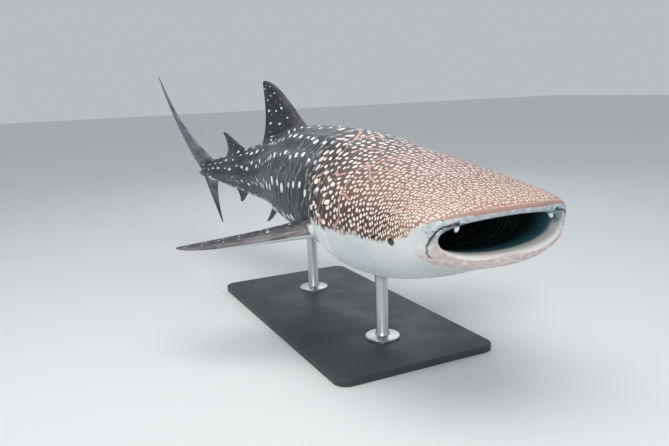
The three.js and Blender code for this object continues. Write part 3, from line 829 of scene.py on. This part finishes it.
def attribute(tree, name):
    made = tree.nodes.new("ShaderNodeAttribute")
    made.attribute_name, made.attribute_type = name, "GEOMETRY"
    return made.outputs


def objectPlace(tree):
    return tree.nodes.new("ShaderNodeTexCoord").outputs["Object"]


def calc(operation, first, second):
    return addNode("Math", {0: first, 1: second}, operation=operation).outputs[0]


def product(first, *others):
    for other in others:
        first = calc("MULTIPLY", first, other)
    return first


def restOf(share):
    return calc("SUBTRACT", 1, share)


def ofVectors(operation, first, second):
    return addNode("VectorMath", {0: first, 1: second}, operation=operation).outputs[0]


def vectorOf(*values):
    return addNode("CombineXYZ", dict(enumerate(values))).outputs[0]


def parts(vector):
    return addNode("SeparateXYZ", {0: vector}).outputs


def fade(value, low, high, start=0, end=1):
    limits = {"From Min": low, "From Max": high, "To Min": start, "To Max": end}
    return addNode("MapRange", {"Value": value, **limits}, interpolation_type="SMOOTHSTEP").outputs["Result"]


def blend(share, first, second):
    return addNode("Mix", {0: share, 6: first, 7: second}, data_type="RGBA").outputs[2]


def layered(colour, *layers):
    # each layer: its share and its colour
    for share, tint in layers:
        colour = blend(share, colour, tint)
    return colour


def noise(vector, scale, detail, rough=0.5, flat=False, output="Fac"):
    inputs = {"Vector": vector, "Scale": scale, "Detail": detail, "Roughness": rough}
    return addNode("TexNoise", inputs, noise_dimensions="2D" if flat else "3D").outputs[output]


def shifted(vector, scale, detail, amount, middle=0):
    # a flat map, moved about by a noise
    drift = ofVectors("SUBTRACT", noise(vector, scale, detail, flat=True, output="Color"), (middle,) * 3)
    drift = addNode("VectorMath", {0: drift, "Scale": amount}, operation="SCALE").outputs[0]
    return ofVectors("ADD", vector, drift)


def stretched(vector, scale):
    return addNode("Mapping", {"Vector": vector, "Scale": scale}).outputs[0]


def cellsOf(vector, scale, randomness, feature="F1"):
    inputs = {"Vector": vector, "Scale": scale, "Randomness": randomness}
    return addNode("TexVoronoi", inputs, voronoi_dimensions="2D", feature=feature).outputs


def bumpOf(height, strength, distance):
    return addNode("Bump", {"Height": height, "Strength": strength, "Distance": distance}).outputs[0]


def newMaterial(name):
    material = bpy.data.materials.new(name)
    material.use_nodes = True
    tree = material.node_tree
    tree.nodes.clear()
    shader = tree.nodes.new("ShaderNodeBsdfPrincipled")
    output = tree.nodes.new("ShaderNodeOutputMaterial")
    tree.links.new(shader.outputs[0], output.inputs[0])
    return material, tree, shader


skinLook = {
    "cheekBrown": (0.07, 0.036, 0.035, 1), "snoutPink": (0.37, 0.22, 0.18, 1),
    # the pink of the head's top: the head's brown painted lighter where light from above falls
    # the ridges' grey: painted sheen along the ridges and the middle of the back
    "litBrowPink": (0.25, 0.13, 0.12, 1), "slate": (0.01, 0.016, 0.021, 1), "ridgeSheenGrey": (0.07, 0.08, 0.09, 1),
    "finGrey": (0.21, 0.185, 0.195, 1), "tailGrey": (0.2, 0.24, 0.27, 1), "bar": (0.24, 0.26, 0.28, 1),
    "dot": (0.92, 0.81, 0.7, 1), "spot": (0.9, 0.92, 0.93, 1), "worm": (0.56, 0.34, 0.29, 1),
    "belly": (0.7, 0.73, 0.73, 1), "bellyShade": (0.46, 0.54, 0.58, 1), "lipBlue": (0.36, 0.44, 0.48, 1),
    "lipPink": (0.46, 0.36, 0.35, 1), "lipWhite": (0.86, 0.83, 0.8, 1), "liningTeal": (0.045, 0.16, 0.2, 1),
    # the lining's deepest colour: its own dark, with painted shade deeper in the mouth
    # the speck and recess colour: dark specks on the upper lip, and painted shade in the pits, grooves and
    # gill slits
    "liningDeep": (0.003, 0.006, 0.007, 1), "arch": (0.05, 0.1, 0.11, 1), "speckAndRecessShade": (0.01, 0.009, 0.01, 1),
    "roughness": (0.4, 0.56), "grain": 190, "folds": 22, "bump": (0.2, 0.012),
}
headLook = {
    # a noise's scale and detail, and how far it moves the map
    "drift": (0.3, 1, 1.2, 0.5), "curl": (0.2, 0, 3.6),
    "dotSize": (0.285, 0.235), "dotLuck": 0.09, "dotEdge": (-0.035, 0.05),
    "webScale": 0.19, "lineEdge": (0.042, 0.018), "besideLine": (0.045, 0.075),
}
trunkLook = {
    "ovalShape": (1, 2.1, 0), "ovalSize": 0.13, "ovalLuck": 0.13, "ovalEdge": (-0.015, 0.025),
    "speckScale": 2.3, "speckSize": 0.2, "speckEdge": (-0.02, 0.05), "speckShare": 0.42,
    "barWaver": 2.2, "barEdge": (0.15, 0.05),
}


def headMarks(headMap, along):
    # dots that wander a little off their grid, and the pink lines among those of the cheek
    look = headLook
    cells = cellsOf(shifted(headMap, *look["drift"]), 1, 0.42)
    luck = product(parts(cells["Color"])[0], look["dotLuck"])
    size = calc("ADD", fade(along, 0.05, 0.2, *look["dotSize"]), luck)
    dots = fade(calc("SUBTRACT", size, cells["Distance"]), *look["dotEdge"])
    web = cellsOf(shifted(headMap, *look["curl"]), look["webScale"], 0.75, "DISTANCE_TO_EDGE")["Distance"]
    present = product(fade(noise(headMap, 0.2, 1, flat=True), 0.46, 0.52), fade(along, 0.1, 0.13))
    lines = product(fade(web, *look["lineEdge"]), present)
    return product(dots, calc("MAXIMUM", fade(web, *look["besideLine"]), restOf(present))), lines


def trunkMarks(rowMap, fin, spots):
    # rows of oval spots, a few specks, and fine upright lines between the columns
    look = trunkLook
    cells = cellsOf(rowMap, 1, 0.34)
    off = ofVectors("MULTIPLY", ofVectors("SUBTRACT", rowMap, cells["Position"]), look["ovalShape"])
    gap = addNode("VectorMath", {0: off}, operation="LENGTH").outputs["Value"]
    luck = product(parts(cells["Color"])[0], look["ovalLuck"])
    size = product(calc("ADD", look["ovalSize"], luck), spots)
    ovals = fade(calc("SUBTRACT", size, gap), *look["ovalEdge"])
    small = cellsOf(rowMap, look["speckScale"], 0.8)
    smallSize = fade(parts(small["Color"])[0], 0.6, 1, 0, look["speckSize"])
    specks = fade(calc("SUBTRACT", smallSize, small["Distance"]), *look["speckEdge"])
    marks = calc("MAXIMUM", ovals, product(specks, spots, look["speckShare"]))
    waver = product(noise(rowMap, 1.1, 2, flat=True), look["barWaver"])
    column = calc("ADD", product(parts(rowMap)[0], 2), waver)
    bars = fade(calc("PINGPONG", column, 0.5), *look["barEdge"])
    present = fade(noise(rowMap, 1.7, 2, flat=True), 0.34, 0.55, 0.15, 1)
    return marks, product(bars, present, restOf(fin))


def lipLook(along, flank, lip, ragged, mottle):
    # blue-grey above, pink-grey below with a white inner edge
    look = skinLook
    lower = fade(flank, 0.06, -0.2)
    upper = restOf(lower)
    wrinkles = noise(vectorOf(product(flank, 5), product(along, 260), product(lip, 7)), 2, 4, 0.6)
    cells = cellsOf(vectorOf(product(flank, 9), product(lip, 1.3)), 1, 1)
    specks = product(fade(cells["Distance"], 0.17, 0.09), fade(parts(cells["Color"])[0], 0.4, 0.45))
    colour = layered(
        blend(lower, look["lipBlue"], look["lipPink"]),
        (fade(mottle, 0.4, 0.62, 0, 0.5), look["lipWhite"]),
        (product(fade(wrinkles, 0.4, 0.62), lower, 0.45), look["lipWhite"]),
        (product(fade(lip, 0.78, 0.95), lower), look["lipWhite"]),
        (product(fade(lip, 0.8, 1), upper, 0.7), look["liningTeal"]),
        (product(specks, upper, 0.85), look["speckAndRecessShade"]))
    upperEdge = fade(calc("ADD", lip, product(ragged, 0.2)), 0.02, 0.14)
    lowerEdge = fade(calc("ADD", along, product(ragged, 0.006)), 0.0185, 0.0135)
    atLip = calc("MAXIMUM", product(upperEdge, fade(along, 0.02, 0.012)),
                 product(lowerEdge, fade(flank, -0.15, -0.3)))
    return colour, atLip, lower, wrinkles


def liningLook(place3d, flank, deep, lower):
    # the mouth's lining: white and teal near the lips, further in its own dark with painted shade, and paler
    # arches
    look = skinLook
    wave = addNode("TexWave", {"Vector": place3d, "Scale": 13, "Distortion": 1.5, "Detail": 1},
                   bands_direction="X").outputs["Fac"]
    arches = product(fade(wave, 0.45, 0.95), fade(deep, 0.025, 0.05), fade(flank, 0.4, -0.2), 0.7)
    return layered(
        blend(product(lower, fade(deep, 0.012, 0.004)), look["liningTeal"], look["lipWhite"]),
        # darker deeper in: the lining's own dark and painted shade
        (fade(deep, 0.012, 0.05), look["liningDeep"]), (arches, look["arch"]))


def makeSkinMaterial():
    material, tree, shader = newMaterial("whale_shark_skin")
    look = skinLook
    headMap, rowMap, lay, tone, finLay = (attribute(tree, name)["Vector"] for name in markNames[:5])
    lip, white, deep, recessShade = (attribute(tree, name)["Fac"] for name in markNames[5:])
    along, flank, fin = parts(lay)[:3]
    pale, inside, ridgeSheen = parts(tone)[:3]
    spots, finLead, finTrail = parts(finLay)[:3]
    place3d = objectPlace(tree)
    headDots, lines = headMarks(headMap, along)
    marks, bars = trunkMarks(rowMap, fin, product(spots, fade(finLead, 0.1, 0.45, 1, 0)))
    patches = noise(place3d, 2.6, 4, 0.6)
    mottle = noise(place3d, 34, 5, 0.7)
    streaks = noise(stretched(rowMap, (3.2, 0.5, 1)), 2, 3, 0.6)
    ragged = product(calc("SUBTRACT", noise(place3d, 12, 4, 0.65), 0.5), 0.95)

    # the head is brown to pink, painted lighter on top where light from above falls, and the rest slate; the
    # change lies further back on the back
    split = calc("SUBTRACT", along, product(flank, 0.045))
    headOnly = product(fade(split, 0.262, 0.222), restOf(fin))
    # painted light: the top of the head lighter, as lit from above
    litBrow = product(fade(flank, 0.12, 0.5), fade(along, 0.22, 0.09))
    edgeGrey = blend(fade(along, 0.76, 0.84), look["finGrey"], look["tailGrey"])
    barShare = product(bars, fade(split, 0.15, 0.2), fade(along, 0.62, 0.4, 0.15, 0.85))
    clearSnout = product(fade(along, 0.002, 0.005), fade(lip, 0.1, 0.03))
    dotShare = product(headDots, headOnly, clearSnout, fade(litBrow, 0, 1, 0.95, 0.76))
    coloured = layered(
        blend(litBrow, look["cheekBrown"], look["litBrowPink"]),
        (fade(along, 0.07, 0.006), look["snoutPink"]),
        (fade(split, 0.17, 0.25), look["slate"]),
        # painted sheen along the ridges and the middle of the back, as lit from above
        (product(ridgeSheen, fade(patches, 0.3, 0.7, 0.4, 0.9)), look["ridgeSheenGrey"]),
        (fade(patches, 0.4, 0.7, 0, 0.14), look["finGrey"]),
        (product(finLead, fade(streaks, 0.38, 0.6, 0.2, 1)), edgeGrey),
        (barShare, look["bar"]),
        (product(marks, restOf(headOnly)), look["spot"]),
        (product(lines, headOnly), look["worm"]),
        (dotShare, look["dot"]),
        (finTrail, look["spot"]))

    # the pale underside has a ragged edge; then the lips, the lining with painted shade deeper in, and
    # painted shade in the pits, grooves and gill slits
    belly = blend(fade(patches, 0.35, 0.7, 0, 0.6), look["belly"], look["bellyShade"])
    lipColour, atLip, lower, wrinkles = lipLook(along, flank, lip, ragged, mottle)
    coloured = layered(
        coloured,
        (fade(calc("ADD", pale, ragged), 0.3, 0.72), belly),
        (atLip, lipColour),
        (inside, liningLook(place3d, flank, deep, lower)),
        (white, look["lipWhite"]),
        # painted shade in the pits, grooves and gill slits
        (product(recessShade, 0.94), look["speckAndRecessShade"]))

    # fine grain, folds, and dots that stand a little proud
    height = product(noise(place3d, look["grain"], 3, 0.6), 0.22)
    folds = noise(place3d, look["folds"], 4, 0.55)
    for more in (folds, product(headDots, 0.1), product(wrinkles, atLip, 0.9)):
        height = calc("ADD", height, more)
    feed(shader, {"Base Color": coloured, "Normal": bumpOf(height, *look["bump"]),
                  "Roughness": fade(mottle, 0.3, 0.7, *look["roughness"])})
    return material


skinMaterial = makeSkinMaterial()
skin.data.materials.clear()
skin.data.materials.append(skinMaterial)
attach(skin, "root")
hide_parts("head", "lower_jaw", "gill_region", "torso", "tail_stock", "first_dorsal_fin",
            "second_dorsal_fin", "anal_fin", "caudal_fin", "pectoral_fin_right", "pectoral_fin_left",
            "pelvic_fin_right", "pelvic_fin_left")
print("skin finished")


# eyes

eyeLook = {"pupil": (0.31, 0.35), "rim": (0.44, 0.54), "black": (0.003, 0.003, 0.004, 1),
           "iris": ((0.035, 0.03, 0.026, 1), (0.12, 0.105, 0.09, 1)), "edge": (0.02, 0.018, 0.018, 1)}


def makeEyeMaterial():
    material, tree, shader = newMaterial("shark_eye")
    look = eyeLook
    ring = attribute(tree, "ring")["Fac"]
    iris = blend(noise(objectPlace(tree), 160, 3), *look["iris"])
    pupil = blend(fade(ring, *look["pupil"]), look["black"], iris)
    feed(shader, {"Base Color": blend(fade(ring, *look["rim"]), pupil, look["edge"]), "Roughness": 0.08,
                  "Coat Weight": 0.6, "Coat Roughness": 0.03})
    return material


eyeMaterial = makeEyeMaterial()
for sideName, side in sides.items():
    eye = face["eye"]
    at = spotAt("eye", side, eye["sink"])
    radius = eye["radius"] * length
    eyeball = bead("eyeball_" + sideName, at, radius, segments=48)
    outward = np.array(outwardAt(eye["a"], eye["angle"], side))
    facing = (coordsOf(eyeball) - np.array(at)) @ outward / radius
    setAttribute(eyeball, "ring", np.arccos(np.clip(facing, -1, 1)))
    eyeball.data.materials.append(eyeMaterial)
    smoothShade(eyeball, 60)
    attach(eyeball, "root")
    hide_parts("eye_" + sideName)
print("eyes set")


# the stand

stand = {"base": (2.3, 1.15, 0.048), "corner": 0.09, "edge": 0.008, "rodRadius": 0.042, "footRadius": 0.12,
         "footHeight": 0.016, "padRadius": 0.078, "rods": {"front": 0.235, "rear": 0.47}, "gap": 0.0003,
         "intoBelly": 0.06, "flareLength": 0.15, "rodSides": 72}


def makeBase():
    clearSelection()
    bpy.ops.mesh.primitive_cube_add(size=1, location=(0, 0, stand["base"][2] / 2))
    piece = takeNew("display_base")
    piece.scale = stand["base"]
    bpy.ops.object.transform_apply(location=True, rotation=True, scale=True)

    def pickUpright():
        setMode("OBJECT")
        mesh = piece.data
        for item in (*mesh.polygons, *mesh.edges, *mesh.vertices):
            item.select = False
        for edge in mesh.edges:
            ends = [mesh.vertices[v] for v in edge.vertices]
            if abs(ends[0].co.z - ends[1].co.z) > 0.01:
                for item in (edge, *ends):
                    item.select = True
        setMode("EDIT")

    inEditMode(
        piece,
        lambda: bpy.ops.mesh.select_mode(type="EDGE"),
        pickUpright,
        lambda: bpy.ops.mesh.bevel(offset=stand["corner"], segments=14, affect="EDGES"),
    )
    applyModifier(piece, "BEVEL", width=stand["edge"], segments=4, limit_method="ANGLE",
                  angle_limit=radians(60))
    smoothShade(piece, 35)
    return piece


def makeRod(name, a):
    foot = stand["base"][2] + stand["gap"]
    belly = place(a, 0, through(form["bottom"], a))
    top = belly[2] + stand["intoBelly"]
    flareStart = belly[2] - stand["flareLength"]
    high, wide, thin, pad = (stand[key] for key in ("footHeight", "footRadius", "rodRadius", "padRadius"))
    # radius and height, from the foot up
    profile = np.array([(0, foot), (wide, foot), (wide, foot + high * 0.6), (wide - high * 0.4, foot + high),
                        (thin * 1.25, foot + high * 1.4), (thin, foot + high * 2.6), (thin, flareStart),
                        (thin * 1.2, flareStart + 0.09), (pad, belly[2] - 0.014), (pad, top), (0, top)])

    def toPoint(column, row):
        turn = 2 * pi * column / stand["rodSides"]
        radius, z = profile[row].T
        return np.stack([belly[0] + radius * np.cos(turn), belly[1] + radius * np.sin(turn), z], 1)

    piece = wrapGrid(name, stand["rodSides"], len(profile) - 1, toPoint)
    combine(piece, skin, "DIFFERENCE")
    for key in [key for key in markNames if key in piece.data.attributes]:
        piece.data.attributes.remove(piece.data.attributes[key])
    piece.data.materials.clear()
    smoothShade(piece, 35)
    return piece


def makeBaseMaterial():
    material, tree, shader = newMaterial("base_paint")
    cloud = noise(objectPlace(tree), 3, 5, 0.6)
    speck = noise(objectPlace(tree), 420, 2)
    feed(shader, {"Base Color": blend(cloud, (0.028, 0.031, 0.035, 1), (0.05, 0.054, 0.06, 1)),
                  "Roughness": fade(cloud, 0.3, 0.7, 0.42, 0.58), "Normal": bumpOf(speck, 0.12, 0.001)})
    return material


def makeRodMaterial():
    material, tree, shader = newMaterial("brushed_rod")
    brushed = noise(stretched(objectPlace(tree), (6, 6, 320)), 3, 3, 0.6)
    feed(shader, {"Base Color": blend(brushed, (0.5, 0.51, 0.52, 1), (0.68, 0.69, 0.7, 1)),
                  "Roughness": fade(brushed, 0.3, 0.7, 0.26, 0.4), "Metallic": 1})
    return material


base = makeBase()
base.data.materials.append(makeBaseMaterial())
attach(base, "root")
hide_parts("stand_base")
rodMaterial = makeRodMaterial()
for rodName, a in stand["rods"].items():
    rod = makeRod("display_rod_" + rodName, a)
    rod.data.materials.append(rodMaterial)
    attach(rod, "root")
    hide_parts("stand_rod_" + rodName)
print("stand finished")


# floor, light and camera

studio = {
    "floorSize": 90, "floor": ((0.72, 0.74, 0.75, 1), (0.76, 0.77, 0.78, 1)),
    "world": (0.84, 0.88, 0.92, 1), "worldStrength": 0.58,
    # where each lamp stands, what it faces, its size, its power and its colour
    "lamps": {"overhead": ((1.6, -1.2, 6.2), (0.3, 0, 1), (6, 4), 250, (1, 0.98, 0.95)),
              "front": ((6.5, -4.5, 3.6), (1.2, 0, 1), (3, 3), 150, (1, 0.97, 0.93)),
              "behind": ((-5.5, 3.5, 4.5), (-0.5, 0, 1), (4, 4), 60, (0.85, 0.93, 1))},
}

clearSelection()
bpy.ops.mesh.primitive_plane_add(size=studio["floorSize"])
floor = takeNew("floor")
floorMaterial, floorTree, floorShader = newMaterial("floor")
floorCloud = noise(objectPlace(floorTree), 0.8, 3)
feed(floorShader, {"Base Color": blend(floorCloud, *studio["floor"]), "Roughness": 0.7})
floor.data.materials.append(floorMaterial)

world = bpy.data.worlds.new("studio")
bpy.context.scene.world = world
world.use_nodes = True
feed(world.node_tree.nodes["Background"], {"Color": studio["world"], "Strength": studio["worldStrength"]})

for name, (at, aim, size, power, colour) in studio["lamps"].items():
    lamp = bpy.data.lights.new(name, "AREA")
    setAll(lamp, {"shape": "RECTANGLE", "size": size[0], "size_y": size[1], "energy": power, "color": colour})
    holder = addObject(name, lamp)
    holder.location = at
    holder.rotation_euler = (Vector(aim) - Vector(at)).to_track_quat("-Z", "Y").to_euler()

view = {"fromSnout": (0.441, -0.383, 0.133), "yaw": 154.5, "pitch": -11.8, "roll": -2.1, "focalPixels": 661,
        "pictureWidth": 669}
camera = bpy.data.cameras.new("camera")
setAll(camera, {"sensor_fit": "HORIZONTAL", "sensor_width": 36, "clip_end": 200})
camera.lens = view["focalPixels"] / view["pictureWidth"] * camera.sensor_width
cameraHolder = addObject("camera", camera)
yaw, pitch, roll = (radians(view[key]) for key in ("yaw", "pitch", "roll"))
forward = Vector((cos(pitch) * cos(yaw), cos(pitch) * sin(yaw), sin(pitch)))
right = forward.cross(Vector((0, 0, 1))).normalized()
upward = right.cross(forward)
right, upward = right * cos(roll) + upward * sin(roll), upward * cos(roll) - right * sin(roll)
at = Vector(place(0, 0, 0)) + Vector(view["fromSnout"]) * length
cameraHolder.matrix_world = Matrix.Translation(at) @ Matrix((right, upward, -forward)).transposed().to_4x4()
bpy.context.scene.camera = cameraHolder
bpy.context.scene.view_settings.view_transform = "Standard"

print("scene ready")
